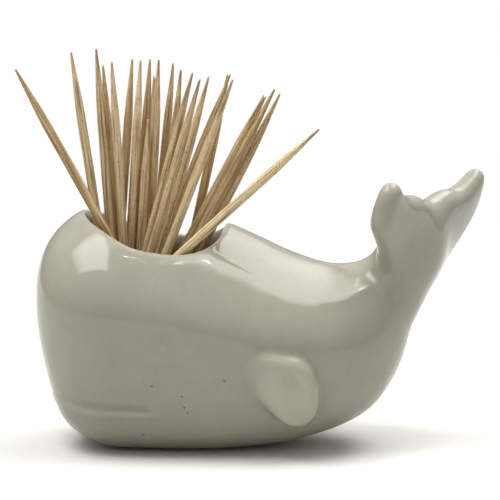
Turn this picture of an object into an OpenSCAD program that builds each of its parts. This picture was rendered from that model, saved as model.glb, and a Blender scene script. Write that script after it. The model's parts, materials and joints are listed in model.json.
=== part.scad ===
// Toothpick holder in the shape of a whale, with its filling of toothpicks.
// The holder is one hollow piece of glazed ceramic: an outer wall, a well in the top of
// the head that the sticks stand in, and a closed space between the two.
// X runs from the nose to the tail, Z is up, and the side seen in front is at -Y.
// The origin is the middle of the flat foot.

/* [Whale body] */
// Length from the nose to the outside of the tail bend
body_len = 89; // [70:1:130]
// Height of the crown of the head above the table
crown_h = 57; // [40:0.5:80]
// Widest part of the head, flank to flank
body_w = 51; // [36:1:70]
// Distance from the nose to the middle of the foot
nose_reach = 36.6; // [28:1:56]
// Height of the foremost point of the nose
nose_h = 33.5; // [22:1:46]

/* [Tail flukes] */
// Distance between the outer edges of the two flukes
fluke_span = 50; // [36:1:64]
// Thickness of the flukes in the middle of each lobe
fluke_t = 8.4; // [6:0.2:11]
// Height of the flukes, from the end of the tail stock to their tips
fluke_chord = 16; // [12:0.5:22]
// Angle by which the flukes are turned towards the viewer's side
tail_turn = 27; // [0:1:30]

/* [Well] */
// Length of the hole in the crown, inside the lip
hole_len = 33; // [26:0.5:38]
// Width of the hole in the crown, inside the lip
hole_w = 31; // [22:0.5:33]
// Distance from the nose to the middle of the hole
hole_reach = 28.8; // [27:0.5:34]
// Height of the floor of the well above the table
well_floor_h = 25.5; // [16:0.5:34]
// How far the floor of the well lies nearer to the nose than the hole
well_lean = 4; // [0:0.5:5]
// Radius of the rounded lip
lip_r = 1.5; // [0.8:0.1:2]

/* [Ceramic wall] */
// Thickness of the outer wall
shell_t = 3.5; // [2.4:0.1:4.5]
// Thickness of the wall and floor of the well
well_t = 3.2; // [2.2:0.1:4]
// Diameter of the drain hole in the foot
drain_d = 8; // [5:0.5:12]
// How far the drain hole lies nearer to the nose than the middle of the foot
drain_reach = 10; // [9:0.5:12]

/* [Face and fins] */
// Height of the mouth line above the table
mouth_h = 12.5; // [8:0.5:16]
// How much higher the mouth line is at the front than at its corners
mouth_rise = 1.6; // [0:0.1:3]
// Width of the mouth groove
mouth_w = 1.3; // [0.8:0.1:2]
// Distance from the nose to the corners of the mouth
mouth_reach = 30.5; // [26:1:44]
// Diameter of the eye bump
eye_d = 3; // [2:0.1:5]
// Length of each fin
fin_len = 20; // [14:0.5:26]
// Thickness of each fin
fin_t = 4.4; // [3:0.1:6]

/* [Toothpicks] */
// Length of a toothpick
pick_len = 65; // [60:0.5:68]
// Thickness of a toothpick
pick_d = 2.2; // [1.8:0.1:2.2]
// Length of the pointed part at each end
pick_taper = 13; // [8:0.5:16]
// Thickness at the very point
pick_tip_d = 0.45; // [0.3:0.05:0.8]
// Clearance between the points of the toothpicks and the floor of the well
pick_gap = 0.35; // [0.2:0.05:1]

/* [Hidden] */
// Toothpicks, from left to right in front view. Each row holds where the foot stands
// (along and across from the middle of the well's floor), how high it is held up, where
// the stick passes below the hole (along and across from the hole's middle), its length
// and the part broken off its upper point. Along and across are shares of half the hole,
// the height is a share of the well's depth, and the last two are shares of pick_len.
pick_shares = [
    [0.22, -0.67, 0.217, -0.642, -0.576, 1, 0],
    [-0.37, -0.27, 0.093, -0.807, -0.284, 1, 0],
    [-0.33, -0.15, 0.093, -0.664, -0.15, 1, 0],
    [-0.28, -0.01, 0.021, -0.615, 0.006, 0.97, 0],
    [-0.16, -0.13, 0, -0.485, -0.162, 1, 0],
    [-0.41, 0.15, 0, -0.544, 0.198, 1, 0],
    [-0.23, 0.01, 0, -0.379, 0.01, 1, 0],
    [-0.08, 0.02, 0, -0.226, 0, 0.79, 0],
    [-0.13, 0.17, 0, -0.274, 0.202, 1, 0],
    [0.01, 0.38, 0, -0.16, 0.46, 1, 0.07],
    [0.05, 0.1, 0, -0.111, 0.116, 1, 0],
    [0.08, 0.26, 0, -0.02, 0.308, 0.985, 0],
    [0.21, 0.13, 0, 0.111, 0.162, 0.965, 0],
    [-0.24, -0.21, 0, -0.08, -0.293, 1, 0],
    [-0.18, -0.36, 0, 0.013, -0.494, 0.99, 0],
    [-0.04, -0.22, 0, 0.137, -0.32, 0.99, 0],
    [-0.15, -0.09, 0.062, 0.159, -0.122, 1, 0],
    [-0.05, -0.38, 0.037, 0.258, -0.511, 1, 0],
    [0.44, 0.26, 0, 0.518, 0.309, 0.96, 0],
    [0.04, -0.31, 0.083, 0.508, -0.424, 1, 0.04],
    [0.15, -0.42, 0.062, 0.62, -0.57, 1, 0],
    [0.23, -0.25, 0, 0.75, -0.34, 1, 0],
    [-0.33, -0.75, 0.217, 0.615, -0.836, 1, 0],
];
pick_count = len(pick_shares);
// Height at which a stick passes below the hole, as a share of the well's depth
pass_share = 0.8;
function pick_name(i) = str("toothpick_", i < 10 ? "0" : "", i);

glaze_color = "#d9d5c8";
wood_color = "#b9996b";
ring_sides = 44;
ball_sides = 20;
pick_sides = 24;
overrun = 2;

// Rings of the body from the shoulder to the root of the flukes. Each row holds the top
// point (along, up), the bottom point (along, up), half the width, how far up between
// the two the ring is widest, and the power of its lower half. Along is a share of
// body_len from the nose, up a share of crown_h, and the width a share of body_w.
body_shares = [
    [0.231,  1.000, 0.231, -0.014, 0.485, 0.58, 2.6],
    [0.342,  0.965, 0.342, -0.016, 0.495, 0.58, 2.6],
    [0.453,  0.925, 0.453, -0.014, 0.490, 0.56, 2.6],
    [0.564,  0.872, 0.564, -0.002, 0.472, 0.55, 2.5],
    [0.676,  0.802, 0.682,  0.026, 0.450, 0.55, 2.4],
    [0.764,  0.767, 0.805,  0.084, 0.400, 0.53, 2.3],
    [0.820,  0.768, 0.889,  0.158, 0.338, 0.52, 2.2],
    [0.864,  0.784, 0.943,  0.263, 0.270, 0.50, 2.2],
    [0.893,  0.813, 0.983,  0.388, 0.210, 0.50, 2.2],
    [0.909,  0.851, 1.006,  0.521, 0.172, 0.50, 2.2],
    [0.922,  0.898, 1.030,  0.644, 0.150, 0.50, 2.2],
    [0.942,  0.945, 1.072,  0.746, 0.138, 0.50, 2.2],
    [0.975,  0.985, 1.108,  0.850, 0.120, 0.50, 2.2],
];
ring_steps = 3;
brow_steps = 9;
brow_power = 2.6;
chin_power = 2.15;
upper_power = 1.85;

function pw(v, p) = sign(v) * pow(abs(v), p);
function blend4(a, b, c, d, t) =
    (b * 2 + (c - a) * t + (a * 2 - b * 5 + c * 4 - d) * t * t
     + (b * 3 - a - c * 3 + d) * t * t * t) / 2;
function row_at(tab, u) =
    let (last = len(tab) - 1, i = min(floor(u), last - 1))
    blend4(tab[max(i - 1, 0)], tab[i], tab[i + 1], tab[min(i + 2, last)], u - i);

function along(share) = share * body_len - nose_reach;
function top_pt(r) = [along(r[0]), 0, r[1] * crown_h];
function low_pt(r) = [along(r[2]), 0, r[3] * crown_h];
function wide_pt(r) = low_pt(r) + (top_pt(r) - low_pt(r)) * r[5];

// One ring of the body, drawn in by inset and scaled by k about its widest line
function body_ring(r, sides, inset = 0, k = 1, k_low = 1, dx = 0, dz = 0) =
    let (t = top_pt(r), b = low_pt(r), tall = norm(t - b), d = (t - b) / tall, c = wide_pt(r),
         hu = (1 - r[5]) * tall - inset, hl = r[5] * tall - inset, w = r[4] * body_w - inset)
    [for (i = [0:sides - 1]) let (a = 360 * i / sides, s = sin(a), p = s > 0 ? upper_power : r[6],
         h = pw(s, 2 / p) * (s > 0 ? hu * k : hl * k_low), y = pw(cos(a), 2 / p) * w * k)
         [c[0] + d[0] * h + dx, y, c[2] + d[2] * h + dz]];

function brow_k(c, p = brow_power) = pow(max(1 - pow(c, p), 0), 1 / p);

// All rings from the nose to the tail, as far as row u_end
function body_rings(sides, inset, u_end) =
    let (r0 = body_shares[0], mid = wide_pt(r0), deep = mid[0] + nose_reach - inset)
    concat(
        [for (j = [1:brow_steps]) let (c = pow(cos(90 * j / (brow_steps + 1)), 2 / brow_power))
            body_ring(r0, sides, inset, brow_k(c), brow_k(c, chin_power), -deep * c, (nose_h - mid[2]) * c)],
        [for (i = [0:round(u_end * ring_steps)]) body_ring(row_at(body_shares, i / ring_steps), sides, inset)]);

// Closed skin over a list of rings, with a point in front of the first and a flat last end
module skin(rings, front_pt) {
    sides = len(rings[0]);
    n = len(rings);
    function at(j, i) = 1 + j * sides + i % sides;
    faces = concat(
        [for (i = [0:sides - 1]) [0, at(0, i), at(0, i + 1)]],
        [for (j = [0:n - 2], i = [0:sides - 1]) [at(j, i + 1), at(j, i), at(j + 1, i)]],
        [for (j = [0:n - 2], i = [0:sides - 1]) [at(j, i + 1), at(j + 1, i), at(j + 1, i + 1)]],
        [[for (i = [0:sides - 1]) at(n - 1, sides - 1 - i)]]);
    polyhedron(concat([front_pt], [for (r = rings) each r]), faces);
}

module body_skin(sides, inset, u_end) {
    skin(body_rings(sides, inset, u_end), [inset - nose_reach, 0, nose_h]);
}

// Width and height of the body's surface over the head, at x along and z up or y across
head_step = along(body_shares[1][0]) - along(body_shares[0][0]);
head_start = along(body_shares[0][0]);
function head_row(x) = row_at(body_shares, max(x - head_start, 0) / head_step);
function head_c(x) = max(head_start - x, 0) / (head_start + nose_reach);
function head_mid_z(x) =
    let (m = wide_pt(head_row(x))[2]) m + (nose_h - m) * head_c(x);
function flank_y(x, z) =
    let (r = head_row(x), k = brow_k(head_c(x)), tall = (r[1] - r[3]) * crown_h, dz = z - head_mid_z(x),
         h = tall * (dz > 0 ? (1 - r[5]) * k : r[5] * brow_k(head_c(x), chin_power)),
         p = dz > 0 ? upper_power : r[6])
    r[4] * body_w * k * pow(max(1 - pow(abs(dz) / h, p), 0), 1 / p);
function crown_z(x, y) =
    let (r = head_row(x), k = brow_k(head_c(x)), w = r[4] * body_w * k,
         hu = (1 - r[5]) * (r[1] - r[3]) * crown_h * k)
    head_mid_z(x) + hu * pow(max(1 - pow(abs(y) / w, upper_power), 0), 1 / upper_power);

// The well, from its floor up. Each row holds the height between floor and crown, and
// the size as a share of the hole.
well_shares = [[0.00, 0.50], [0.02, 0.64], [0.07, 0.78], [0.17, 0.89], [0.36, 0.96], [0.60, 0.99], [1.00, 1.00]];
well_sides = 40;
hole_x = hole_reach - nose_reach;
hole_power = 2.4;
function hole_pt(a, size, grow) =
    let (p = cos(a) > 0 ? hole_power : 2)
    [(hole_len / 2 * size + grow) * pw(cos(a), 2 / p), (hole_w / 2 * size + grow) * pw(sin(a), 2 / p)];
function well_ring(row, grow, z, sides) =
    [for (i = [0:sides - 1]) let (q = hole_pt(360 * i / sides, row[1], grow))
        [hole_x - well_lean * (1 - row[0]) + q[0], q[1], z]];
module well(grow, sides, z_top) {
    low = well_floor_h - grow;
    rings = concat(
        [for (i = [0:len(well_shares) - 1])
            well_ring(well_shares[i], grow, low + (crown_h - low) * well_shares[i][0], sides)],
        [well_ring([1, 1], grow, z_top, sides)]);
    skin(rings, [hole_x - well_lean, 0, low]);
}

// Rounded lip: a bead that follows the edge of the hole over the curved crown. It has a
// flat facet towards the hole, a little behind the face of the well.
lip_steps = 48;
lip_sides = 8;
function lip_mid(a) =
    let (q = hole_pt(a, 1, lip_r)) [hole_x + q[0], q[1], crown_z(hole_x + q[0], q[1]) - lip_r];
function lip_ring(a) =
    let (run = lip_mid(a + 3) - lip_mid(a - 3), out = [run[1], -run[0], 0] / norm([run[1], -run[0], 0]))
    [for (i = [0:lip_sides - 1]) let (b = 360 * (i + 1 / 2) / lip_sides)
        lip_mid(a) + (out * cos(b) + [0, 0, sin(b)]) * lip_r];
module lip() {
    pts = [for (j = [0:lip_steps - 1]) each lip_ring(360 * j / lip_steps)];
    function at(j, i) = (j % lip_steps) * lip_sides + i % lip_sides;
    polyhedron(pts, [for (j = [0:lip_steps - 1], i = [0:lip_sides - 1])
        each [[at(j, i), at(j, i + 1), at(j + 1, i)], [at(j, i + 1), at(j + 1, i + 1), at(j + 1, i)]]]);
}

// Flukes: balls joined by hulls. Each row holds the ball's place across (share of half
// the span), its place up (share of the chord) and its diameter (share of the thickness).
fluke_shares = [
    [0.00, 0.00, 1.50], [0.00, 0.42, 1.02], [0.36, 0.56, 0.86], [0.50, 0.26, 1.05],
    [0.60, 0.63, 0.82], [0.80, 0.52, 0.92], [0.90, 0.90, 0.66],
];
fluke_hulls = [[0, 1, 3], [1, 2, 3], [2, 4, 3], [4, 5, 3], [4, 5, 6]];
fluke_lean = 12;
stock_lean = 5;
root_row = 11.67;
fluke_root = (top_pt(body_shares[11]) + low_pt(body_shares[11])) / 2;
module fluke_ball(k) {
    r = fluke_shares[k];
    translate([0, r[0] * fluke_span / 2, r[1] * fluke_chord]) sphere(d = r[2] * fluke_t, $fn = ball_sides);
}
module fluke_place() {
    translate(fluke_root) rotate([0, stock_lean, 0]) rotate([0, fluke_lean, -tail_turn]) children();
}
module flukes() {
    fluke_place() for (m = [0, 1]) mirror([0, m, 0])
        for (h = fluke_hulls) hull() for (k = h) fluke_ball(k);
    for (m = [0, 1]) hull() {
        skin([for (u = [root_row, 12]) body_ring(row_at(body_shares, u), ring_sides)],
             wide_pt(row_at(body_shares, root_row)));
        fluke_place() mirror([0, m, 0]) for (k = [0, 1, 3]) fluke_ball(k);
    }
}

// Fins: flat leaves that lie on the flanks and stand off towards their rear edge. Each row
// holds the body row and the ring angle of a ball, its diameter as a share of fin_len, and
// how far it stands off as a share of fin_t.
fin_shares = [[3.22, 3, 0.26, -0.30], [3.95, 10, 0.62, 0.10], [4.18, 27, 0.50, 0.25]];
function on_body(u, a) =
    let (r = row_at(body_shares, u), t = top_pt(r), b = low_pt(r), hl = r[5] * norm(t - b), c = wide_pt(r),
         h = pow(sin(a), 2 / r[6]) * hl, y = pow(cos(a), 2 / r[6]) * r[4] * body_w)
    [c[0], 0, c[2]] - (t - b) / norm(t - b) * h + [0, y, 0];
module fin() {
    hull() for (r = fin_shares)
        translate(on_body(r[0], r[1]) + [0, r[3] * fin_t, 0])
            scale([1, fin_t / (r[2] * fin_len), 1]) sphere(d = r[2] * fin_len, $fn = ball_sides);
}

// Mouth groove, the same on both sides, and the eye bumps
mouth_steps = 14;
mouth_sides = 6;
mouth_front = head_start - (head_start + nose_reach)
    * brow_k((nose_h - mouth_h - mouth_rise) / nose_h, chin_power);
module mouth() {
    end_x = mouth_reach - nose_reach;
    pts = [for (i = [0:mouth_steps])
        let (s = sin(90 * i / mouth_steps), x = end_x + (mouth_front - end_x) * s, z = mouth_h + mouth_rise * s * s)
        [x, flank_y(x, z), z]];
    for (i = [0:mouth_steps - 1]) hull() for (j = [i, i + 1]) translate(pts[j]) sphere(d = mouth_w, $fn = mouth_sides);
}
eye_reach = 32.3;
eye_sink_share = 0.32;
eye_h = 27.2;
module eye() {
    x = eye_reach - nose_reach;
    translate([x, flank_y(x, eye_h) - eye_d * eye_sink_share, eye_h]) sphere(d = eye_d, $fn = ball_sides);
}

module both_sides() {
    children();
    mirror([0, 1, 0]) children();
}

shell_end = 8;
module whale_body() {
    color(glaze_color)
        difference() {
            union() {
                difference() {
                    union() {
                        body_skin(ring_sides, 0, 12);
                        flukes();
                        both_sides() { fin(); eye(); }
                    }
                    well(lip_r, well_sides, crown_h + overrun);
                    difference() {
                        body_skin(ring_sides / 2, shell_t, shell_end);
                        well(well_t + lip_r, well_sides, crown_h + overrun);
                        translate([-body_len, -body_w, shell_t - crown_h]) cube([body_len * 2, body_w * 2, crown_h]);
                    }
                }
                difference() {
                    intersection() {
                        well(well_t, well_sides, crown_h + overrun);
                        body_skin(ring_sides, lip_r, shell_end);
                    }
                    well(0, well_sides, crown_h + overrun * 2);
                }
                lip();
            }
            both_sides() mouth();
            translate([-body_len, -body_w, -crown_h]) cube([body_len * 2, body_w * 2, crown_h]);
            translate([-drain_reach, 0, -overrun]) cylinder(d = drain_d, h = shell_t + overrun * 2, $fn = 32);
        }
}

// One toothpick, turned about its own length, where it leans in the well
module toothpick(i) {
    r = pick_shares[i - 1];
    full = r[5] * pick_len;
    top = (r[5] - r[6]) * pick_len;
    edge = pick_tip_d + (pick_d - pick_tip_d) * (full - top) / pick_taper;
    depth = crown_h - well_floor_h;
    foot = [hole_x - well_lean + r[0] * hole_len / 2, r[1] * hole_w / 2, well_floor_h + pick_gap + r[2] * depth];
    pass = [hole_x + r[3] * hole_len / 2, r[4] * hole_w / 2, well_floor_h + pass_share * depth];
    run = (pass - foot) / norm(pass - foot);
    color(wood_color)
        translate(foot) rotate([0, acos(run[2]), atan2(run[1], run[0])])
            rotate_extrude($fn = pick_sides) polygon([
                [0, 0], [pick_tip_d / 2, 0], [pick_d / 2, pick_taper],
                [pick_d / 2, full - pick_taper], [edge / 2, top], [0, top]]);
}

whale_body();
for (i = [1:pick_count])
    toothpick(i);
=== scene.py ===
"""A glazed ceramic whale that holds wooden toothpicks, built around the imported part."""

import json
import math

import bmesh
import bpy
import numpy as np
import openvdb
from mathutils import Matrix, Vector


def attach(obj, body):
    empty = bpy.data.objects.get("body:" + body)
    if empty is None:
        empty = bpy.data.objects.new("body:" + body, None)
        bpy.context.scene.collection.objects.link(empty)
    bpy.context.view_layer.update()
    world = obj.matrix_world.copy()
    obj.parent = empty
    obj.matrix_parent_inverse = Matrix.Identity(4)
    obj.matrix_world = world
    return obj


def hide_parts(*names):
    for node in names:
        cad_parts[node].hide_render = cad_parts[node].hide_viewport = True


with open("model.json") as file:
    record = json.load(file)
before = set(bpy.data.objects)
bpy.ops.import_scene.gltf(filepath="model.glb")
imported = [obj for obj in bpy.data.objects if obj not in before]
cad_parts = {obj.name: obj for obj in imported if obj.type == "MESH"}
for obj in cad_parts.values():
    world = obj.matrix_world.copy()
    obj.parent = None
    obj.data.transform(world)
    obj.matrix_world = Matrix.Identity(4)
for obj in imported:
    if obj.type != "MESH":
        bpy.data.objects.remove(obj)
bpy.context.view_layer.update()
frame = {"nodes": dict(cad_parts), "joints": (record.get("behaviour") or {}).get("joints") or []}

MM = 0.001

# The whale's measures in mm and degrees, named as in the part's source
BODY_LEN, CROWN_H, BODY_W = 89.0, 57.0, 51.0
NOSE_REACH, NOSE_H = 36.6, 33.5
FLUKE_T, TAIL_TURN, FLUKE_LEAN, STOCK_LEAN = 8.4, 27.0, 12.0, 5.0
HOLE_LEN, HOLE_W, HOLE_REACH = 33.0, 32.4, 28.8
WELL_FLOOR_H, WELL_LEAN, WELL_T, LIP_R = 25.5, 4.0, 3.2, 1.5
SHELL_T, DRAIN_D, DRAIN_REACH = 3.5, 8.0, 10.0
MOUTH_H, MOUTH_RISE, MOUTH_REACH = 12.5, 1.6, 30.5
EYE_D, EYE_REACH, EYE_H = 3.0, 32.3, 27.2

# Each ring of the body: top point along and up, bottom point along and up, half width, how far up
# the ring is widest, and the powers of its lower and upper half
BODY_SHARES = np.array([
    [0.231, 1.000, 0.231, -0.014, 0.485, 0.58, 2.6, 1.85],
    [0.342, 0.973, 0.342, -0.016, 0.495, 0.58, 2.6, 1.80],
    [0.453, 0.957, 0.453, -0.014, 0.490, 0.56, 2.6, 1.68],
    [0.564, 0.888, 0.564, -0.002, 0.472, 0.55, 2.5, 1.72],
    [0.676, 0.807, 0.682, 0.026, 0.450, 0.55, 2.4, 1.80],
    [0.764, 0.762, 0.805, 0.084, 0.400, 0.53, 2.3, 1.85],
    [0.820, 0.758, 0.889, 0.158, 0.338, 0.52, 2.2, 1.85],
    [0.864, 0.773, 0.943, 0.263, 0.270, 0.50, 2.2, 1.85],
    [0.893, 0.806, 0.979, 0.388, 0.210, 0.50, 2.2, 1.85],
    [0.909, 0.848, 0.999, 0.521, 0.172, 0.50, 2.2, 1.85],
    [0.922, 0.896, 1.022, 0.644, 0.150, 0.50, 2.2, 1.85],
    [0.942, 0.945, 1.068, 0.746, 0.138, 0.50, 2.2, 1.85],
    [0.975, 0.985, 1.108, 0.850, 0.120, 0.50, 2.2, 1.85],
])
LAST_ROW = len(BODY_SHARES) - 1
# the row that carries the flukes, and the last row of the hollow inside
FLUKE_ROW, SHELL_END = 11, 8.0
# the rows between which the tail's end is rounded, and its radius
ROUND_ROW, ROUND_END, ROUND_R = 10.6, 12.1, 6.0
# how square the head is above and below the nose, and the rear of the hole seen from above
BROW_POWER, CHIN_POWER, HOLE_POWER = 2.6, 2.15, 2.9
# how far the face draws back from a plain curve, at each step up, and where along it ends
FACE_SHIFT = np.array([0.6, -0.5, 0.2, 0.85, 0.85, 0.6, 0.4, 0.25, 0.75, 1.7, 1.3])[:, None]
FACE_STEP, FACE_FADE = 6.0, (-31, -8)
# the well's shape: share of its height, share of its width
WELL_SHARES = np.array([
    [0.00, 0.50], [0.02, 0.64], [0.07, 0.78], [0.17, 0.89], [0.36, 0.96], [0.60, 0.99], [1.00, 1.00],
])
WELL_TOP = CROWN_H + 6
# the fin's outline on the flank: along, up
FIN_OUTLINE = np.array([
    [13.8, 24.6], [17.6, 26.2], [22.5, 25.7], [26.8, 24.8], [29.4, 22.6], [30.8, 19.2], [31.1, 15.4],
    [30.5, 11.8], [28.9, 9.3], [26.3, 8.3], [23.2, 9.2], [19.6, 11.8], [15.8, 15.4], [13.2, 20.2],
])
# half of the flukes' outline, from the notch round the tip to the stock: across, up
FLUKE_OUTLINE = np.array([
    [0.0, 10.6], [3.4, 12.0], [7.0, 13.1], [10.0, 13.0], [12.4, 12.8], [14.9, 14.1], [17.8, 16.1],
    [20.4, 17.9], [22.6, 16.8], [23.6, 13.2], [23.8, 9.2], [22.6, 5.3], [19.2, 1.2], [15.6, -3.2],
    [11.2, -7.4], [6.4, -11.5], [3.2, -16.0],
])
# the bent flukes: the far lobe leans away from the head and its tip returns, the near lobe
# drops a little and its edge is drawn in below and out above, the tips are thinner and the stock
# is a soft pillow
FAR_BEND, TIP_RETURN, NEAR_DROP, NEAR_IN, NEAR_OUT = 1.0, 0.3, 0.6, 1.7, 0.7
TIP_THIN, PILLOW_T = 0.36, 0.9
# the width of the seam between tail and flukes, on the head's side and on the other, and the
# blur passes that smooth it: some along the tail, more round the root
SEAM_NEAR_HEAD, SEAM_AWAY = 2.4, 6.0
SOME_PASSES, MORE_PASSES = 12, 44
# how far a fin stands off the flank, how much further towards its lower tip, how deep its face
# is dished below and above, how far its front edge sinks in, and how round its edge and seam are
FIN_STAND, FIN_DROP, FIN_DISH_LOW, FIN_DISH_HIGH, FIN_SINK = 1.6, 3.0, 0.2, 0.6, 0.25
FIN_EDGE_R, FIN_SEAM = 2.6, 0.7
# how far an eye bump's middle lies under the skin, and the shallow socket round it: its radius
# and its middle's place from the eye, along, out and up
EYE_SINK = EYE_D * 0.42
SOCKET_R, SOCKET_AT = 10.0, (-0.7, 9.8, 0.9)
# the mouth's groove and the lower lip, a bead as thick as the groove, set in and below it
GROOVE_R, GROOVE_IN, BEAD_IN, BEAD_DROP = 0.62, 0.1, 0.95, 1.5
# how soft the edges are: inside the belly, where anything opens into it, at the drain and the foot
BELLY_EDGE, OPEN_EDGE, DRAIN_EDGE, FOOT_EDGE = 1.0, 0.4, 0.7, 1.3


def power(v, p):
    """The size of v raised to p, with the sign of v."""
    return np.sign(v) * np.abs(v) ** p


def smooth_step(x, low, high):
    t = np.clip((x - low) / (high - low), 0, 1)
    return t * t * (3 - 2 * t)


def row_at(table, u):
    """A row between the table's rows, on a smooth curve through them."""
    last = len(table) - 1
    i = min(int(u), last - 1)
    a, b, c, d = table[max(i - 1, 0)], table[i], table[i + 1], table[min(i + 2, last)]
    t = u - i
    return (b * 2 + (c - a) * t + (a * 2 - b * 5 + c * 4 - d) * t ** 2
            + (b * 3 - a - c * 3 + d) * t ** 3) / 2


# The body's skin, ring by ring
def top_point(row):
    return np.array([row[0] * BODY_LEN - NOSE_REACH, row[1] * CROWN_H])


def low_point(row):
    return np.array([row[2] * BODY_LEN - NOSE_REACH, row[3] * CROWN_H])


def wide_point(row):
    return low_point(row) + (top_point(row) - low_point(row)) * row[5]


def body_ring(row, sides, inset=0.0, k=1.0, k_low=1.0, dx=0.0, dz=0.0):
    """One ring of the body, drawn in by inset, scaled by k (k_low below its middle) and moved."""
    top, low, middle = top_point(row), low_point(row), wide_point(row)
    tall = np.linalg.norm(top - low)
    d = (top - low) / tall
    a = 2 * math.pi * np.arange(sides) / sides
    upper = np.sin(a) > 0
    p = np.where(upper, row[7], row[6])
    reach = np.where(upper, ((1 - row[5]) * tall - inset) * k, (row[5] * tall - inset) * k_low)
    h = power(np.sin(a), 2 / p) * reach
    y = power(np.cos(a), 2 / p) * (row[4] * BODY_W - inset) * k
    return np.stack([middle[0] + d[0] * h + dx, y, middle[1] + d[1] * h + dz], 1)


def brow_k(c, p=BROW_POWER):
    """The head's size at a share c of the way from its first ring to the nose."""
    return max(1 - c ** p, 0) ** (1 / p)


def skin(rings, front):
    """A closed mesh over a list of rings, with a point in front of the first."""
    n, sides = len(rings), len(rings[0])
    points = np.vstack([[front], *rings, [np.mean(rings[-1], axis=0)]])
    i = np.arange(sides)
    after = (i + 1) % sides
    faces = [np.stack([np.zeros(sides, int), 1 + i, 1 + after], 1)]
    for j in range(n - 1):
        a, b = 1 + j * sides, 1 + (j + 1) * sides
        faces.append(np.stack([a + after, a + i, b + i], 1))
        faces.append(np.stack([a + after, b + i, b + after], 1))
    a = 1 + (n - 1) * sides
    faces.append(np.stack([np.full(sides, len(points) - 1), a + after, a + i], 1))
    return points, np.vstack(faces)


def face_shift(points):
    """Points of the head moved back to the face's own profile."""
    rows = np.clip(points[:, 2] / FACE_STEP, 0, len(FACE_SHIFT) - 1)
    shift = np.array([row_at(FACE_SHIFT, u)[0] for u in rows])
    shifted = points.copy()
    shifted[:, 0] += shift * (1 - smooth_step(points[:, 0], *FACE_FADE))
    return shifted


def body_skin(sides, inset=0.0, u_end=LAST_ROW, brow_steps=44, ring_steps=9):
    """The body's skin, or one that lies inset mm inside it, back to the row u_end."""
    first = BODY_SHARES[0]
    middle = wide_point(first)
    deep = middle[0] + NOSE_REACH - inset
    rings = []
    for j in range(1, brow_steps + 1):
        c = math.cos(math.pi / 2 * j / (brow_steps + 1)) ** (2 / BROW_POWER)
        rings.append(body_ring(first, sides, inset, brow_k(c), brow_k(c, CHIN_POWER),
                               -deep * c, (NOSE_H - middle[1]) * c))
    for i in range(round(u_end * ring_steps) + 1):
        u = i / ring_steps
        t = max(u - ROUND_ROW, 0) / (ROUND_END - ROUND_ROW)
        end = ROUND_R * (1 - math.sqrt(1 - t * t))
        rings.append(body_ring(row_at(BODY_SHARES, u), sides, inset + end))
    points, faces = skin(rings, [inset - NOSE_REACH, 0, NOSE_H])
    return face_shift(points), faces


# where along the head's first ring lies, and the step from it to the next
HEAD_START = top_point(BODY_SHARES[0])[0]
HEAD_STEP = top_point(BODY_SHARES[1])[0] - HEAD_START


def flank_y(x, z):
    """Half the body's width over the head, at a place along and a height."""
    row = row_at(BODY_SHARES, max(x - HEAD_START, 0) / HEAD_STEP)
    c = max(HEAD_START - x, 0) / (HEAD_START + NOSE_REACH)
    middle = wide_point(row)[1]
    middle += (NOSE_H - middle) * c
    tall, dz = (row[1] - row[3]) * CROWN_H, z - middle
    h = tall * ((1 - row[5]) * brow_k(c) if dz > 0 else row[5] * brow_k(c, CHIN_POWER))
    p = row[7] if dz > 0 else row[6]
    return row[4] * BODY_W * brow_k(c) * max(1 - (abs(dz) / h) ** p, 0) ** (1 / p)


def hole_ring(size, grow, dx, z, sides):
    """A ring of the well: round in front, squarer at the rear."""
    a = 2 * math.pi * np.arange(sides) / sides
    p = np.where(np.cos(a) > 0, HOLE_POWER, 2)
    x = (HOLE_LEN / 2 * size + grow) * power(np.cos(a), 2 / p)
    y = (HOLE_W / 2 * size + grow) * power(np.sin(a), 2 / p)
    return np.stack([HOLE_REACH - NOSE_REACH + dx + x, y, np.full(sides, z)], 1)


def well_skin(grow=0.0, sides=144, steps=49):
    """The well's inside, or a skin that lies grow mm outside it."""
    low = WELL_FLOOR_H - grow
    rings = []
    for u in np.linspace(0, len(WELL_SHARES) - 1, steps):
        up, size = row_at(WELL_SHARES, u)
        rings.append(hole_ring(size, grow, -WELL_LEAN * (1 - up), low + (CROWN_H - low) * up, sides))
    rings.append(hole_ring(1, grow, 0, WELL_TOP, sides))
    return skin(rings, [HOLE_REACH - NOSE_REACH - WELL_LEAN, 0, low])


# Fields of signed distance in mm on a grid, which join and blur like clay
VOXEL = 0.44
BAND = 12.0
HALF_Y = 68
ORIGIN = (-92, -HALF_Y, -10)
SHAPE = (262, 2 * HALF_Y + 1, 168)
X = ((ORIGIN[0] + np.arange(SHAPE[0])) * VOXEL)[:, None, None].astype(np.float32)
Y = ((ORIGIN[1] + np.arange(SHAPE[1])) * VOXEL)[None, :, None].astype(np.float32)
Z = ((ORIGIN[2] + np.arange(SHAPE[2])) * VOXEL)[None, None, :].astype(np.float32)
ALL_Y = slice(0, SHAPE[1])


def field(points, faces):
    """Signed distance to a closed mesh near its surface."""
    grid = openvdb.FloatGrid.createLevelSetFromPolygons(
        (np.asarray(points) / VOXEL).astype(np.float32),
        triangles=np.asarray(faces).astype(np.uint32), halfWidth=BAND)
    out = np.empty(SHAPE, np.float32)
    grid.copyToArray(out, ijk=ORIGIN)
    return out * VOXEL


def span(axis, low, high):
    """The grid's points from low to high along an axis."""
    return slice(max(int(low / VOXEL) - ORIGIN[axis], 0), int(high / VOXEL) - ORIGIN[axis] + 1)


def join(a, b, k):
    """Union of two fields with a soft seam about k wide."""
    h = np.clip(0.5 + (b - a) / (2 * k), 0, 1)
    return b + (a - b) * h - k * h * (1 - h)


def carve(a, b, k):
    """The field a without b, with a soft edge about k wide."""
    return -join(-a, b, k)


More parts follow.
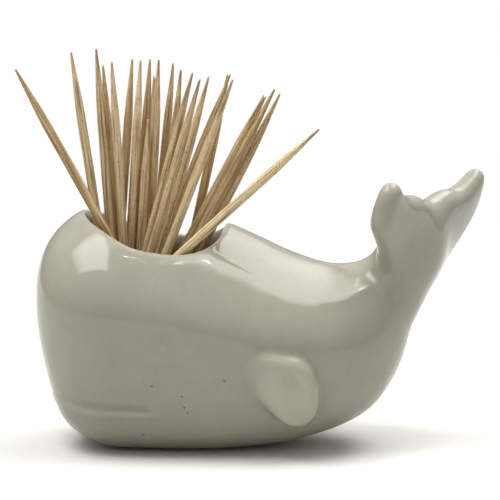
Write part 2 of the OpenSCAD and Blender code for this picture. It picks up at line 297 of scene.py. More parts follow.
def blur(a, passes):
    """A field smoothed along each axis, each point with its two neighbours."""
    for _ in range(passes):
        for axis in range(3):
            p = np.concatenate([a.take([0], axis), a, a.take([-1], axis)], axis)
            n = a.shape[axis]
            before, after = np.split(p, [n], axis)[0], np.split(p, [2], axis)[1]
            a = a * 0.5 + (before + after) * 0.25
    return a


def sample(a, points):
    """Field values at points in mm, linear between the grid's points."""
    q = points / VOXEL - np.array(ORIGIN)
    q = np.clip(q, 0, np.array(SHAPE) - 1.001)
    i = q.astype(int)
    f = q - i
    out = 0
    for dx in (0, 1):
        for dy in (0, 1):
            for dz in (0, 1):
                w = np.abs(1 - dx - f[:, 0]) * np.abs(1 - dy - f[:, 1]) * np.abs(1 - dz - f[:, 2])
                out = out + w * a[i[:, 0] + dx, i[:, 1] + dy, i[:, 2] + dz]
    return out


def outline_distance(outline, x, z):
    """Signed distance to a closed outline drawn along and up, negative inside it."""
    a, b = outline, np.roll(outline, -1, 0)
    d = b - a
    p = np.stack(np.broadcast_arrays(x, z), -1)[..., None, :].astype(float)
    t = np.clip(((p - a) * d).sum(-1) / (d ** 2).sum(-1), 0, 1)
    near = np.linalg.norm(p - a - t[..., None] * d, axis=-1).min(-1)
    crosses = (a[:, 1] > p[..., 1]) != (b[:, 1] > p[..., 1])
    slope = d[:, 0] / np.where(np.abs(d[:, 1]) < 1e-9, 1e-9, d[:, 1])
    left = p[..., 0] < a[:, 0] + slope * (p[..., 1] - a[:, 1])
    return np.where((crosses & left).sum(-1) % 2 == 1, -near, near)


def rounded(points, steps=6):
    """A smooth closed curve through points."""
    n = len(points)
    looped = np.vstack([points[-1:], points, points[:2]])
    return np.array([row_at(looped, 1 + i / steps) for i in range(n * steps)])


def line_distance(line, radii, box):
    """Distance to a line with a changing thickness and to its mirror image, in a box of the grid."""
    x, y, z = X[box[0]], np.abs(Y[:, box[1]]), Z[:, :, box[2]]
    out = np.full((x.shape[0], y.shape[1], z.shape[2]), 1e3, np.float32)
    for a, b, ra, rb in zip(line[:-1], line[1:], radii[:-1], radii[1:]):
        d = b - a
        along = (x - a[0]) * d[0] + (y - a[1]) * d[1] + (z - a[2]) * d[2]
        t = np.clip(along / (d @ d + 1e-9), 0, 1)
        away = (x - a[0] - t * d[0]) ** 2 + (y - a[1] - t * d[1]) ** 2 + (z - a[2] - t * d[2]) ** 2
        out = np.minimum(out, np.sqrt(away) - (ra + (rb - ra) * t))
    return out


# The whale, from its fields
def fluke_matrix():
    """The flukes' own frame: through the leaf, across to the lobes, up to the tips."""
    row = BODY_SHARES[FLUKE_ROW]
    root = (top_point(row) + low_point(row)) / 2
    return (Matrix.Translation((root[0], 0, root[1]))
            @ Matrix.Rotation(math.radians(STOCK_LEAN), 4, "Y")
            @ Matrix.Rotation(math.radians(-TAIL_TURN), 4, "Z")
            @ Matrix.Rotation(math.radians(FLUKE_LEAN), 4, "Y"))


def leaf_edge(across, up, step=0.4):
    """Signed distance to the flukes' outline, read from a fine flat grid."""
    outline = rounded(np.vstack([FLUKE_OUTLINE, FLUKE_OUTLINE[:0:-1] * [-1, 1]]))
    flat_across, flat_up = np.arange(0, 45, step)[:, None], np.arange(-25, 32, step)[None, :]
    flat = outline_distance(outline, flat_across, flat_up)
    i = np.clip(across / step, 0, flat.shape[0] - 1.001)
    j = np.clip((up - flat_up[0, 0]) / step, 0, flat.shape[1] - 1.001)
    i0, j0 = i.astype(int), j.astype(int)
    u, v = i - i0, j - j0
    return ((1 - u) * ((1 - v) * flat[i0, j0] + v * flat[i0, j0 + 1])
            + u * ((1 - v) * flat[i0 + 1, j0] + v * flat[i0 + 1, j0 + 1]))


def flukes_field(x):
    """The flukes as a thick leaf with round edges, and how far each point lies off its middle.

    a runs through the leaf, away from the head, b across it and c up it, in mm from its root.
    """
    back = np.array(fluke_matrix().inverted())
    a, b, c = (back[i, 0] * x + back[i, 1] * Y + back[i, 2] * Z + back[i, 3] for i in range(3))
    near, far = smooth_step(-b, 12, 18), smooth_step(b, 4, 18)
    a = a - FAR_BEND * far + TIP_RETURN * smooth_step(b, 18, 24)
    c = c + NEAR_DROP * near
    across = np.abs(b) + NEAR_IN * smooth_step(-b, 4, 12) * smooth_step(-c, -6, 1)
    high = smooth_step(c, 3, 8) * (1 - smooth_step(c, 15, 19))
    across = across - NEAR_OUT * smooth_step(-b, 12, 20) * high
    thick = FLUKE_T / 2 * (1 - TIP_THIN * smooth_step(np.abs(b), 7, 21))
    middle = (1 - smooth_step(np.abs(b), 1, 20)) * (1 - smooth_step(c, -9, 9))
    thick = thick + PILLOW_T * middle * smooth_step(c, -18, -6)
    edge = leaf_edge(across, c)
    return (np.hypot(np.maximum(edge + thick, 0), a) - thick).astype(np.float32), a


def add_flukes(body):
    """The flukes grown out of the tail, smoothed most of all at their root."""
    tail = span(0, 36, 71)
    x = X[tail]
    flukes, off = flukes_field(x)
    seam = SEAM_NEAR_HEAD + (SEAM_AWAY - SEAM_NEAR_HEAD) * smooth_step(off, -5, 3)
    part = join(body[tail], flukes, seam)
    some = blur(part, SOME_PASSES)
    much = blur(some, MORE_PASSES)
    root = fluke_matrix() @ Vector((0, 0, 1))
    away = np.sqrt((x - root[0]) ** 2 + Y ** 2 + (Z - root[2]) ** 2)
    strong = 1 - smooth_step(away, 10, 19)
    share = smooth_step(x, 41, 49)
    body[tail] = part * (1 - share) + (some * (1 - strong) + much * strong) * share


def add_fins(body):
    """Fins raised from the flanks: flush in front, standing off at the back, slightly dished."""
    box = (span(0, 8, 36), ALL_Y, span(2, 3, 32))
    x, z = X[box[0]], Z[:, :, box[2]]
    edge = outline_distance(rounded(FIN_OUTLINE), x, z)
    inner = outline_distance(rounded(FIN_OUTLINE), x + 0.9, z + 0.7)
    rise = smooth_step(x + 0.15 * (z - 18), 12.5, 23.5)
    stand = FIN_STAND + FIN_DROP * np.clip((25 - z) / 15, 0, 1.1) ** 1.2
    dish = FIN_DISH_LOW + (FIN_DISH_HIGH - FIN_DISH_LOW) * smooth_step(z, 13, 21)
    stand = (stand - dish * smooth_step(-inner, 1.9, 2.9)) * rise - FIN_SINK * (1 - rise)
    part = body[box]
    fin = carve(part - stand, -edge, FIN_EDGE_R)
    body[box] = join(part, fin, FIN_SEAM)


def balls(x, y, z, radius):
    """Signed distance to a ball on each flank."""
    return np.sqrt((X - x) ** 2 + (np.abs(Y) - y) ** 2 + (Z - z) ** 2) - radius


def with_eyes(body):
    """Round eye bumps, each in a shallow socket."""
    x = EYE_REACH - NOSE_REACH
    y = flank_y(x, EYE_H)
    dx, dy, dz = SOCKET_AT
    body = carve(body, balls(x + dx, y + dy, EYE_H + dz, SOCKET_R), 0.8)
    return join(body, balls(x, y - EYE_SINK, EYE_H, EYE_D / 2), 0.5)


def mouth_line(steps=40):
    """The mouth along one flank, from its corner to the front of the face."""
    below = (NOSE_H - MOUTH_H - MOUTH_RISE) / NOSE_H
    front = HEAD_START - (HEAD_START + NOSE_REACH) * brow_k(below, CHIN_POWER)
    end = MOUTH_REACH - NOSE_REACH
    points = []
    for i in range(steps + 1):
        s = math.sin(math.pi / 2 * i / steps)
        x, z = end + (front - end) * s, MOUTH_H + MOUTH_RISE * s * s
        points.append([x, flank_y(x, z), z])
    return face_shift(np.array(points))


def add_mouth(body):
    """A groove, deepest along the cheek and gone at the nose, over a soft lower lip."""
    box = (span(0, -39, -2), ALL_Y, span(2, 7, 20))
    line = mouth_line()
    flow = np.gradient(line[:, :2], axis=0)
    out = np.stack([flow[:, 1], -flow[:, 0], np.zeros(len(line))], 1)
    out /= np.linalg.norm(out, axis=1, keepdims=True)
    radius = GROOVE_R * (0.15 + 0.85 * smooth_step(line[:, 0], -33, -23))
    radius = radius * smooth_step(MOUTH_REACH - NOSE_REACH - line[:, 0], 0.2, 2.5)
    bead = line - BEAD_IN * out - [0, 0, BEAD_DROP]
    part = join(body[box], line_distance(bead, radius, box), 1.4)
    body[box] = carve(part, line_distance(line - GROOVE_IN * out, radius, box), 0.3)


def hollowed(body):
    """The casting with its well, its closed belly, its drain hole and its flat foot."""
    body = carve(body, field(*well_skin()), LIP_R)
    cavity = field(*body_skin(90, SHELL_T, SHELL_END, 20, 5))
    cavity = carve(cavity, field(*well_skin(WELL_T + LIP_R, 72)), BELLY_EDGE)
    cavity = carve(cavity, Z - SHELL_T, BELLY_EDGE)
    body = carve(body, cavity, OPEN_EDGE)
    drain = np.maximum(np.sqrt((X + DRAIN_REACH) ** 2 + Y ** 2) - DRAIN_D / 2, Z - SHELL_T - 1.5)
    body = carve(body, drain, DRAIN_EDGE)
    return carve(body, Z, FOOT_EDGE), cavity


def whale_fields():
    body = field(*body_skin(200))
    add_flukes(body)
    add_fins(body)
    body = with_eyes(body)
    add_mouth(body)
    return hollowed(body)


# A field's surface as a mesh: its faces at most, and the share kept inside the closed belly
WHALE_FACES = 190_000
HIDDEN_SHARE = 0.15


def onto_surface(values, points, steps=2):
    """Points moved along the field's slope onto its zero surface."""
    e = VOXEL / 2
    for _ in range(steps):
        g = np.stack([(sample(values, points + s * e) - sample(values, points - s * e)) / (2 * e)
                      for s in np.eye(3)], 1)
        n2 = np.maximum((g ** 2).sum(1, keepdims=True), 0.2)
        move = sample(values, points)[:, None] * g / n2
        far = np.linalg.norm(move, axis=1, keepdims=True)
        points = points - move * np.minimum(1, e / np.maximum(far, 1e-6))
    return points


def vertices(mesh):
    """A mesh's vertices in mm."""
    out = np.empty(len(mesh.vertices) * 3)
    mesh.vertices.foreach_get("co", out)
    return out.reshape(-1, 3) / MM


def decimated(ob, ratio, group=""):
    mod = ob.modifiers.new("thin", "DECIMATE")
    mod.ratio = ratio
    mod.vertex_group = group
    made = bpy.data.meshes.new_from_object(ob.evaluated_get(bpy.context.evaluated_depsgraph_get()))
    ob.modifiers.clear()
    old, ob.data = ob.data, made
    bpy.data.meshes.remove(old)


def thin_out(ob, hidden):
    """Fewer, larger faces, most of all inside the closed belly, where nobody looks."""
    group = ob.vertex_groups.new(name="hidden")
    group.add(np.flatnonzero(hidden).tolist(), 1.0, "REPLACE")
    decimated(ob, 1 - (1 - HIDDEN_SHARE) * hidden.mean(), group.name)
    decimated(ob, min(1.0, WHALE_FACES / sum(len(f.vertices) - 2 for f in ob.data.polygons)))
    ob.vertex_groups.clear()


def add_object(name, points, faces):
    """A new mesh object in the scene, from points in metres."""
    mesh = bpy.data.meshes.new(name)
    mesh.from_pydata(points, [], faces)
    ob = bpy.data.objects.new(name, mesh)
    bpy.context.scene.collection.objects.link(ob)
    return ob


def to_mesh(name, values, cavity):
    """The zero surface of a field, as a smooth object, and its points in mm."""
    grid = openvdb.FloatGrid(background=BAND)
    grid.copyFromArray(np.ascontiguousarray(values / VOXEL, np.float32), ijk=ORIGIN)
    points, _, quads = grid.convertToPolygons(isovalue=0.0, adaptivity=0.0)
    points = onto_surface(values, points.astype(float) * VOXEL)
    ob = add_object(name, points * MM, quads.tolist())
    ob.data.validate()
    thin_out(ob, sample(cavity, points) < 0.35)
    points = onto_surface(values, vertices(ob.data))
    ob.data.vertices.foreach_set("co", (points * MM).ravel())
    ob.data.update()
    ob.data.shade_smooth()
    return ob, points


def add_values(mesh, name, values):
    data = mesh.attributes.new(name, "FLOAT", "POINT").data
    data.foreach_set("value", np.asarray(values, np.float32))


def make_whale():
    """The whale with what its glaze needs to know: bends, the well's wall, the lip and the fins, where
    light and shade are painted.
    """
    values, cavity = whale_fields()
    values = blur(values, 2)
    ob, points = to_mesh("whale", values, cavity)
    # above zero on ridges, below it in hollows: for a painted highlight on ridges and painted shade in
    # hollows, partly thin and pooled glaze
    soft = blur(values, 4)
    bend = sum(np.roll(soft, 1, a) + np.roll(soft, -1, a) - 2 * soft for a in range(3)) / VOXEL ** 2
    add_values(ob.data, "bend", sample(bend, points))
    wall = sample(field(*well_skin()), points)
    rim = sample(field(*body_skin(120)), points)
    # the well mask, where the glaze gets painted shade down the wall
    add_values(ob.data, "well", (wall < 0.7) * smooth_step(-rim, 0.7, 4.5))
    # the lip mask, where the glaze gets a painted highlight, partly thin glaze on the edge
    add_values(ob.data, "lip", (1 - smooth_step(wall, 0.3, 1.1)) * smooth_step(rim, -1.4, -0.5))
    # the fin mask, where the glaze gets painted light
    inside = -outline_distance(rounded(FIN_OUTLINE), points[:, 0], points[:, 2])
    on_flank = smooth_step(np.abs(points[:, 1]), 8, 12)
    fin = smooth_step(inside, -0.6, 2.0) * smooth_step(points[:, 0], 13, 22) * on_flank
    add_values(ob.data, "fin", fin)
    return ob


# Toothpicks, mm
PICK_LEN, PICK_R, TAPER, TIP_R, LEAST_R = 65.0, 1.1, 13.0, 0.225, 0.09
# sides round it, how softly the points meet the shaft, and how far it sways
SIDES, EDGE_SOFT, SWAY = 20, 0.12, 0.05
# tone from dark to light, and how many dark pores
PICK_LOOKS = {
    1: (0.12, 0.3), 2: (0.60, 0.2), 3: (0.46, 0.3), 4: (0.35, 0.2), 5: (0.66, 0.2), 6: (0.42, 0.2),
    7: (0.78, 0.6), 8: (0.70, 0.3), 9: (0.20, 0.2), 10: (0.34, 0.3), 11: (0.52, 0.3), 12: (0.50, 1.0),
    13: (0.40, 0.5), 14: (0.50, 0.6), 15: (0.46, 0.4), 16: (0.66, 1.0), 17: (0.40, 0.3),
    18: (0.78, 0.6), 19: (0.00, 0.2), 20: (0.48, 0.5), 21: (0.18, 0.3), 22: (0.36, 1.0), 23: (0.92, 0.2),
}
# how much of the upper point is broken off, and which one is chipped
BROKEN = {10: 7.0, 20: 3.2}
CHIPPED = 17
CHIP_LEN, CHIP_ROWS = 2.4, 5


def wave(seed, x, octaves=3):
    """A smooth random value for a place x, from -1 to 1 or so."""
    r = np.random.default_rng(seed)
    out = 0.0
    for o in range(octaves):
        out += math.sin(x * 2 * math.pi * (0.6 + r.random()) * 2 ** o + r.random() * 7) / 1.7 ** o
    return out / 2


def pick_place(number):
    """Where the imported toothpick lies: its foot, its direction and its length, mm."""
    child = f"loose_{number:02d}"
    axis = np.array(next(j["axis"] for j in frame["joints"] if j["child"] == child))
    axis = axis / np.linalg.norm(axis)
    solid = frame["nodes"][f"toothpick_{number:02d}"].data
    points = np.array([v.co[:] for v in solid.vertices]) / MM
    along = points @ axis
    foot = points[along < along.min() + 1e-3].mean(0)
    top = points[along > along.max() - 1e-3].mean(0)
    return foot, axis, np.linalg.norm(top - foot)


def pick_radius(s, length, lost):
    """The toothpick's radius at s from its foot: pointed, straight and pointed again."""
    low = TIP_R + (PICK_R - TIP_R) * s / TAPER
    high = TIP_R + (PICK_R - TIP_R) * (length - s + lost) / TAPER
    k = EDGE_SOFT
    soft = -k * np.log(np.exp(-low / k) + np.exp(-high / k) + np.exp(-(PICK_R - 0.01) / k))
    return np.maximum(soft, LEAST_R)


def pick_rows(number, foot, axis, length, u, v, r):
    """Rings along the toothpick, a little uneven and swaying, with its broken or chipped end."""
    turn = r.random() * 2 * math.pi
    flat = r.random(3) * 2 * math.pi
    a = 2 * math.pi * np.arange(SIDES) / SIDES + turn
    round_u, round_v = np.cos(a)[:, None] * u, np.sin(a)[:, None] * v
    s = np.concatenate([np.linspace(0, TAPER, 14), np.linspace(TAPER, length - TAPER, 30)[1:-1],
                        np.linspace(length - TAPER, length, 22)])
    rows = []
    for si, ri in zip(s, pick_radius(s, length, BROKEN.get(number, 0))):
        shape = 1 - 0.025 * (1 + np.sin(3 * a + flat[0] + si * 0.03)) / 2
        shape = shape - 0.02 * (1 + np.sin(5 * a + flat[1] + si * 0.11)) / 2
        shape = shape - 0.012 * (1 + np.sin(9 * a + flat[2] - si * 0.4)) / 2
        sway = SWAY * (u * wave(number, si / PICK_LEN) + v * wave(number + 50, si / PICK_LEN))
        rows.append(foot + axis * si + sway + ri * shape[:, None] * (round_u + round_v))
    rows = np.array(rows)
    if number == CHIPPED:
        chip = np.where(np.cos(a - 2.6) > 0.2, -CHIP_LEN, 0.0)
        for back in range(1, CHIP_ROWS):
            rows[-1 - back] += np.outer(chip * (1 - back / CHIP_ROWS), axis)
        rows[-1] += np.outer(chip - 0.3, axis)
    if number in BROKEN:
        jag = 0.35 * np.sin(2 * a + 1.0) + 0.2 * np.sin(5 * a)
        rows[-1] += np.outer(jag - 0.3, axis)
    return rows


def make_toothpick(number):
    name = f"toothpick_{number:02d}"
    foot, axis, length = pick_place(number)
    u = np.cross(axis, [0, 1, 0])
    u /= np.linalg.norm(u)
    v = np.cross(axis, u)
    r = np.random.default_rng(100 + number)
    rows = pick_rows(number, foot, axis, length, u, v, r)

    first, last = rows[0].mean(0) - axis * 0.05, rows[-1].mean(0) + axis * 0.04
    points = np.vstack([rows.reshape(-1, 3), [first], [last]])
    end = (len(rows) - 1) * SIDES
    ring = [(i, (i + 1) % SIDES) for i in range(SIDES)]
    faces = [[j + a, j + b, j + SIDES + b, j + SIDES + a] for j in range(0, end, SIDES) for a, b in ring]
    faces += [[b, a, end + SIDES] for a, b in ring]
    faces += [[end + a, end + b, end + SIDES + 1] for a, b in ring]
    ob = add_object(name + "_wood", points * MM, faces)
    mesh = ob.data
    bm = bmesh.new()
    bm.from_mesh(mesh)
    bmesh.ops.recalc_face_normals(bm, faces=bm.faces)
    bm.to_mesh(mesh)
    bm.free()
    mesh.shade_smooth()

    # the grain runs along the stick, and every stick is cut from its own place in the wood
    tone, speckle = PICK_LOOKS[number]
    from_foot = points - foot
    along = from_foot @ axis
    grain = np.stack([from_foot @ u, from_foot @ v, along], 1) + r.random(3) * 400
    data = mesh.attributes.new("grain", "FLOAT_VECTOR", "POINT").data
    data.foreach_set("vector", grain.astype(np.float32).ravel())
    add_values(mesh, "tone", np.full(len(points), tone))
    add_values(mesh, "speckle", np.full(len(points), speckle))
    add_values(mesh, "end_fade", np.clip(np.minimum(along, length - along) / TAPER, 0, 1))
    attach(ob, f"loose_{number:02d}")
    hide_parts(name)
    return ob


# Materials
class Tree:
    """The node tree of a material or world, with short forms for what is used here."""

    def __init__(self, owner):
        owner.use_nodes = True
        self.owner = owner
        self.nodes, self.links = owner.node_tree.nodes, owner.node_tree.links

    def add(self, kind, links=(), **values):
        """A node with its links, its settings, and its sockets' values as in_NAME or in_NUMBER."""
        node = self.nodes.new(kind)
        for key, value in values.items():
            if key.startswith("in_"):
                key = key[3:]
                node.inputs[int(key) if key.isdigit() else key].default_value = value
            else:
                setattr(node, key, value)
        for socket, source in links:
            self.links.new(source, node.inputs[socket])
        return node

    def put(self, socket, value):
        """A plain value, a colour or another node's output, on a socket."""
        if isinstance(value, (int, float)):
            socket.default_value = value
        elif isinstance(value, tuple):
            socket.default_value = (*value, 1.0)
        else:
            self.links.new(value, socket)

    def math(self, operation, a, b):
        node = self.add("ShaderNodeMath", operation=operation)
        self.put(node.inputs[0], a)
        self.put(node.inputs[1], b)
        return node.outputs[0]

    def noise(self, vector, scale, detail, rough=0.5):
        node = self.add("ShaderNodeTexNoise", [("Vector", vector)], in_Scale=scale, in_Detail=detail,
                        in_Roughness=rough)
        return node.outputs["Fac"]

    def ramp(self, value, low, high, to_low=0.0, to_high=1.0):
        node = self.add("ShaderNodeMapRange", [(0, value)], clamp=True)
        for i, v in enumerate((low, high, to_low, to_high)):
            node.inputs[i + 1].default_value = v
        return node.outputs[0]

    def mix(self, factor, a, b):
        node = self.add("ShaderNodeMix", data_type="RGBA", blend_type="MIX")
        self.put(node.inputs[0], factor)
        self.put(node.inputs[6], a)
        self.put(node.inputs[7], b)
        return node.outputs[2]

    def split(self, vector):
        return self.add("ShaderNodeSeparateXYZ", [(0, vector)]).outputs

    def attribute(self, name, output="Fac"):
        return self.add("ShaderNodeAttribute", attribute_name=name).outputs[output]

    def object_place(self):
        return self.add("ShaderNodeTexCoord").outputs["Object"]

    def bump(self, height, strength, distance):
        return self.add("ShaderNodeBump", [("Height", height)], in_Strength=strength,
                        in_Distance=distance).outputs[0]

    def background_rays(self):
        """1 for the rays that should see a white background: camera, glossy and transmission."""
        rays = self.add("ShaderNodeLightPath").outputs
        seen = self.math("MAXIMUM", rays["Is Camera Ray"], rays["Is Glossy Ray"])
        return self.math("MAXIMUM", seen, rays["Is Transmission Ray"])

    def surface(self, output):
        self.links.new(output, self.nodes["Material Output"].inputs["Surface"])


def new_material(name):
    """A material's tree and its shader's sockets."""
    t = Tree(bpy.data.materials.new(name))
    return t, t.nodes["Principled BSDF"].inputs


def rgb(r, g, b):
    """A colour written as 0 to 255 values on a screen."""
    return tuple(c / 255 / 12.92 if c / 255 <= 0.04045 else ((c / 255 + 0.055) / 1.055) ** 2.4
                 for c in (r, g, b))


GLAZE_COOL, GLAZE_WARM = rgb(163, 162, 148), rgb(171, 168, 153)
GLAZE_POOL, GLAZE_GRIT = rgb(155, 155, 142), rgb(180, 176, 161)
# a painted highlight for ridges and painted shade for hollows, partly thin and pooled glaze
GLAZE_RIDGE_HIGHLIGHT, GLAZE_HOLLOW_SHADE = rgb(200, 195, 178), rgb(122, 120, 106)
# painted light on the fins, and a painted highlight along the lip that is partly thin glaze
GLAZE_FIN_LIGHT, GLAZE_LIP_HIGHLIGHT = rgb(202, 200, 182), rgb(224, 219, 203)
# painted shade for the well's wall; the bare clay and the specks are the glaze's own colours
WELL_SHADE, BARE_CLAY, SPECK = rgb(112, 92, 68), rgb(176, 168, 152), rgb(84, 74, 58)
# specks fired into the near flank: along and up, mm, and their inner and outer radius, m
SPECKS = ((-7.3, 18.2), (-0.3, 15.8), (0.8, 11.6), (0.1, 13.0), (-9.8, 5.5), (9.4, 19.6))
SPECK_IN, SPECK_OUT = 0.00016, 0.00036


def speck_mask(t, place):
    """Small scattered specks, and the larger ones at their own places."""
    cells = t.add("ShaderNodeTexVoronoi", [("Vector", place)], in_Scale=330.0)
    near = t.ramp(cells.outputs["Distance"], 0.05, 0.09, 1.0, 0.0)
    pick = t.add("ShaderNodeSeparateColor", [("Color", cells.outputs["Color"])]).outputs[0]
    specks = t.math("MULTIPLY", near, t.ramp(pick, 0.982, 0.984))
    for x, z in SPECKS:
        gap = t.add("ShaderNodeVectorMath", [(0, place)], operation="DISTANCE")
        gap.inputs[1].default_value = (x * MM, -flank_y(x, z) * MM, z * MM)
        speck = t.ramp(gap.outputs["Value"], SPECK_IN, SPECK_OUT, 0.8, 0.0)
        specks = t.math("MAXIMUM", specks, speck)
    return specks


def glaze_material():
    t, shader = new_material("glaze_cream_grey")
    place = t.object_place()
    broad = t.noise(place, 28.0, 2.0)
    mottle = t.noise(place, 170.0, 4.0, 0.6)
    fine = t.noise(place, 1500.0, 3.0, 0.6)
    colour = t.mix(t.ramp(broad, 0.3, 0.7), GLAZE_COOL, GLAZE_WARM)
    colour = t.mix(t.ramp(mottle, 0.35, 0.7, 0.0, 0.5), colour, GLAZE_POOL)
    colour = t.mix(t.ramp(fine, 0.45, 0.75, 0.0, 0.25), colour, GLAZE_GRIT)
    # painted light and shade: lighter on ridges, fins and the lip, darker in hollows; on ridges and in
    # hollows it is partly thin and pooled glaze
    bend = t.attribute("bend")
    # a painted highlight on ridges, partly thin glaze
    colour = t.mix(t.ramp(bend, 0.05, 0.6, 0.0, 0.3), colour, GLAZE_RIDGE_HIGHLIGHT)
    # painted light on the fins
    colour = t.mix(t.ramp(t.attribute("fin"), 0.0, 1.0, 0.0, 0.5), colour, GLAZE_FIN_LIGHT)
    # a painted highlight along the lip, partly thin glaze
    colour = t.mix(t.ramp(t.attribute("lip"), 0.1, 0.9, 0.0, 0.95), colour, GLAZE_LIP_HIGHLIGHT)
    # painted shade in hollows, partly pooled glaze
    colour = t.mix(t.ramp(bend, -0.06, -0.7, 0.0, 0.4), colour, GLAZE_HOLLOW_SHADE)
    # painted shade: the well's wall is darker towards its floor; the foot is bare clay
    colour = t.mix(t.ramp(t.attribute("well"), 0.0, 1.0, 0.0, 0.92), colour, WELL_SHADE)
    height = t.math("ADD", t.split(place)[2], t.math("MULTIPLY", mottle, 0.0006))
    colour = t.mix(t.ramp(height, 0.0007, 0.0012, 1.0, 0.0), colour, BARE_CLAY)
    colour = t.mix(speck_mask(t, place), colour, SPECK)
    t.put(shader["Base Color"], colour)
    t.put(shader["Roughness"], t.ramp(mottle, 0.3, 0.7, 0.035, 0.075))
    shader["IOR"].default_value = 1.5
    wavy = t.math("ADD", t.noise(place, 90.0, 2.0), t.math("MULTIPLY", t.noise(place, 700.0, 2.0), 0.06))
    t.put(shader["Normal"], t.bump(wavy, 0.5, 0.0006))
    return t.owner


WOOD_DARK, WOOD_LIGHT = rgb(156, 125, 80), rgb(249, 228, 186)
WOOD_GOLD, WOOD_FIBRE, WOOD_GLOW = rgb(226, 192, 134), rgb(112, 84, 48), rgb(248, 230, 194)
WOOD_STREAK, WOOD_PORE, WOOD_BLOTCH = rgb(112, 82, 48), rgb(96, 68, 38), rgb(150, 118, 74)
WOOD_END = rgb(146, 114, 70)


def wood_material():
    """Pale birch whose fibres, streaks and pores run along each stick's own grain."""
    t, shader = new_material("birch_toothpick")
    grain = t.attribute("grain", "Vector")

    def stretched(squeeze):
        node = t.add("ShaderNodeMapping", [("Vector", grain)])
        node.inputs["Scale"].default_value = (1.0, 1.0, squeeze)
        return node.outputs[0]

    fibre = t.noise(stretched(0.03), 2.6, 2.0, 0.6)
    streak = t.noise(stretched(0.02), 1.5, 2.0, 0.6)
    broad = t.noise(stretched(0.10), 0.7, 3.0, 0.5)
    blotch = t.noise(stretched(0.3), 0.9, 4.0, 0.65)
    dashes = t.noise(stretched(0.16), 3.0, 1.0, 0.6)
    colour = t.mix(t.attribute("tone"), WOOD_DARK, WOOD_LIGHT)
    colour = t.mix(t.ramp(broad, 0.42, 0.72, 0.0, 0.5), colour, WOOD_GOLD)
    colour = t.mix(t.ramp(fibre, 0.5, 0.68, 0.0, 0.75), colour, WOOD_FIBRE)
    colour = t.mix(t.ramp(fibre, 0.46, 0.28, 0.0, 0.5), colour, WOOD_GLOW)
    colour = t.mix(t.ramp(streak, 0.60, 0.70, 0.0, 0.6), colour, WOOD_STREAK)
    # short dark pores, thick on some sticks
    pores = t.add("ShaderNodeTexVoronoi", [("Vector", stretched(0.5))], in_Scale=3.0)
    dot = t.ramp(pores.outputs["Distance"], 0.16, 0.40, 1.0, 0.0)
    pick = t.add("ShaderNodeSeparateColor", [("Color", pores.outputs["Color"])]).outputs[0]
    chance = t.math("LESS_THAN", pick, t.ramp(t.attribute("speckle"), 0.0, 1.0, 0.03, 0.5))
    colour = t.mix(t.math("MULTIPLY", t.math("MULTIPLY", dot, chance), 0.7), colour, WOOD_PORE)
    colour = t.mix(t.ramp(blotch, 0.54, 0.74, 0.0, 0.45), colour, WOOD_BLOTCH)
    colour = t.mix(t.ramp(t.attribute("end_fade"), 0.0, 0.45, 0.45, 0.0), colour, WOOD_END)
    t.put(shader["Base Color"], colour)
    t.put(shader["Roughness"], t.ramp(fibre, 0.3, 0.7, 0.5, 0.72))
    shader["IOR"].default_value = 1.45
    height = t.math("ADD", fibre, t.math("MULTIPLY", dashes, 0.5))
    t.put(shader["Normal"], t.bump(height, 0.35, 0.00015))
    return t.owner


# Floor, world, lights and camera, in metres
FLOOR_SIZE = 6.0
FLOOR_LIT, FLOOR_SEEN = rgb(205, 205, 202), rgb(252, 252, 252)
# where the floor starts and ends its fade into the white background
FADE_START, FADE_END = 0.10, 0.38
WORLD_LIT, WORLD_SEEN = (0.34, 0.335, 0.32), (1.0, 1.0, 1.0)

# soft panels above the object: reach along x and y, strength, colour, and the widths over which
# the light fades at the left, right, front and back edge
PANEL_H = 0.47
PANELS = {
    "head_panel": ((-0.46, -0.05), (-0.30, 0.12), 6.4, (1.0, 0.985, 0.955), (0.2, 0.02, 0.02, 0.1)),
    "back_panel": ((0.0, 0.42), (-0.17, 0.95), 5.2, (1.0, 0.98, 0.95), (0.16, 0.16, 0.09, 0.7)),
}
# a ring of small square lamps: centre, sides, turn, lamps along each side, a lamp's size, strength
RING_AT, RING_SIDES, RING_TURN = (0.03, -0.035, 0.46), (0.17, 0.15), math.radians(-55)
RING_LAMPS, LAMP_SIZE, LAMP_STRENGTH = (11, 9), 0.0026, 300.0
# a grey wall round the scene, brighter towards its top
WALL_R, WALL_H, WALL_SIDES = 0.9, 0.55, 96
WALL_LOW, WALL_DARK, WALL_LIGHT = 0.1, 0.3, 0.9

# the camera: its picture is 500 pixels wide, and its focal length is 2975 pixels
AZIMUTH, ELEVATION, DISTANCE = math.radians(3), math.radians(9), 0.7
TARGET = Vector((0.014, 0, 0.0462))
PICTURE_W, FOCAL_PX, SENSOR_MM = 500, 2975, 36


def make_floor():
    s = FLOOR_SIZE
    floor = add_object("floor", [(-s, -s, 0), (s, -s, 0), (s, s, 0), (-s, s, 0)], [(0, 1, 2, 3)])
    t, shader = new_material("floor_white")
    seen = t.background_rays()
    t.put(shader["Base Color"], t.mix(seen, FLOOR_LIT, FLOOR_SEEN))
    shader["Roughness"].default_value = 0.9
    shader["Specular IOR Level"].default_value = 0.0
    # away from the object the floor fades into the white background
    away = t.add("ShaderNodeVectorMath", [(0, t.object_place())], operation="LENGTH").outputs["Value"]
    far = t.math("MULTIPLY", t.ramp(away, FADE_START, FADE_END), seen)
    white = t.add("ShaderNodeEmission", in_Strength=1.0)
    near = t.nodes["Principled BSDF"].outputs[0]
    t.surface(t.add("ShaderNodeMixShader", [(0, far), (1, near), (2, white.outputs[0])]).outputs[0])
    floor.data.materials.append(t.owner)


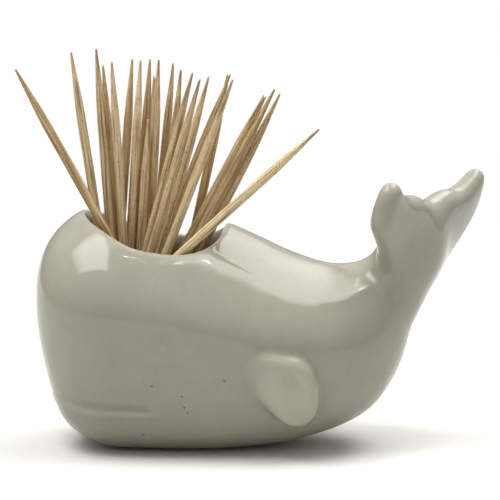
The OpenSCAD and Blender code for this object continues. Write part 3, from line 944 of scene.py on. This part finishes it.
def make_world():
    world = bpy.data.worlds.new("studio")
    bpy.context.scene.world = world
    t = Tree(world)
    back = t.nodes["Background"].inputs
    t.put(back["Color"], t.mix(t.background_rays(), WORLD_LIT, WORLD_SEEN))
    back["Strength"].default_value = 1.0


def make_glow(ob, t, strength, colour=(1.0, 1.0, 1.0), soft=False):
    """An object that glows, unseen by the camera. Unless soft, it lights only reflections."""
    glow = t.add("ShaderNodeEmission", in_Color=(*colour, 1.0))
    t.put(glow.inputs["Strength"], strength)
    t.surface(glow.outputs[0])
    ob.data.materials.append(t.owner)
    ob.visible_camera = False
    ob.visible_diffuse = soft
    ob.visible_shadow = False


def soft_panel(name, x, y, strength, colour, fade):
    """A glowing panel above the object whose light fades towards its edges."""
    hx, hy = (x[1] - x[0]) / 2, (y[1] - y[0]) / 2
    ob = add_object(name, [(-hx, -hy, 0), (-hx, hy, 0), (hx, hy, 0), (hx, -hy, 0)], [(0, 1, 2, 3)])
    ob.location = ((x[0] + x[1]) / 2, (y[0] + y[1]) / 2, PANEL_H)
    t, _ = new_material(name)
    along, across, _ = t.split(t.object_place())
    left, right = t.ramp(along, -hx, -hx + fade[0]), t.ramp(along, hx, hx - fade[1])
    front, back = t.ramp(across, -hy, -hy + fade[2]), t.ramp(across, hy, hy - fade[3])
    here = t.math("MULTIPLY", t.math("MULTIPLY", left, right), t.math("MULTIPLY", front, back))
    make_glow(ob, t, t.math("MULTIPLY", here, strength), colour, soft=True)


def lamp_ring():
    """A ring of small lamps above the object, which sparkles in the glaze."""
    across, deep = (((np.arange(n) + 0.5) / n * 2 - 1).tolist() for n in RING_LAMPS)
    lamps = [(x, side) for x in across for side in (-1, 1)]
    lamps += [(side, y) for y in deep for side in (-1, 1)]
    c, s = math.cos(RING_TURN), math.sin(RING_TURN)
    verts, faces = [], []
    for x, y in lamps:
        for dx, dy in ((-1, -1), (-1, 1), (1, 1), (1, -1)):
            u = (x * RING_SIDES[0] + dx * LAMP_SIZE) / 2
            v = (y * RING_SIDES[1] + dy * LAMP_SIZE) / 2
            verts.append((RING_AT[0] + u * c - v * s, RING_AT[1] + u * s + v * c, RING_AT[2]))
        faces.append(tuple(range(len(verts) - 4, len(verts))))
    t, _ = new_material("lamp_white")
    make_glow(add_object("lamp_ring", verts, faces), t, LAMP_STRENGTH)


def surround():
    """A grey wall that only reflections see, which draws the pale object's edges."""
    n = WALL_SIDES
    a = 2 * math.pi * np.arange(n) / n
    ring = np.stack([WALL_R * np.cos(a), WALL_R * np.sin(a)], 1)
    verts = [(x, y, z) for z in (0.0, WALL_H) for x, y in ring]
    faces = [(i, (i + 1) % n, n + (i + 1) % n, n + i) for i in range(n)]
    t, _ = new_material("surround_grey")
    up = t.split(t.object_place())[2]
    glow = t.ramp(up, WALL_LOW, WALL_H, WALL_DARK, WALL_LIGHT)
    make_glow(add_object("surround", verts, faces), t, glow)


def make_camera():
    data = bpy.data.cameras.new("camera")
    cam = bpy.data.objects.new("camera", data)
    bpy.context.scene.collection.objects.link(cam)
    level = math.cos(ELEVATION)
    offset = Vector((math.sin(AZIMUTH) * level, -math.cos(AZIMUTH) * level, math.sin(ELEVATION)))
    cam.location = TARGET + offset * DISTANCE
    cam.rotation_euler = (-offset).to_track_quat("-Z", "Y").to_euler()
    data.sensor_width = SENSOR_MM
    data.lens = SENSOR_MM * FOCAL_PX / PICTURE_W
    data.clip_start = 0.01
    data.clip_end = 50
    bpy.context.scene.camera = cam


bpy.context.scene.view_settings.view_transform = "Standard"
make_camera()
make_floor()
make_world()
for name, panel in PANELS.items():
    soft_panel(name, *panel)
lamp_ring()
surround()

whale = make_whale()
whale.data.materials.append(glaze_material())
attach(whale, "holder")
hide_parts("whale_body")

wood = wood_material()
for number in sorted(PICK_LOOKS):
    make_toothpick(number).data.materials.append(wood)
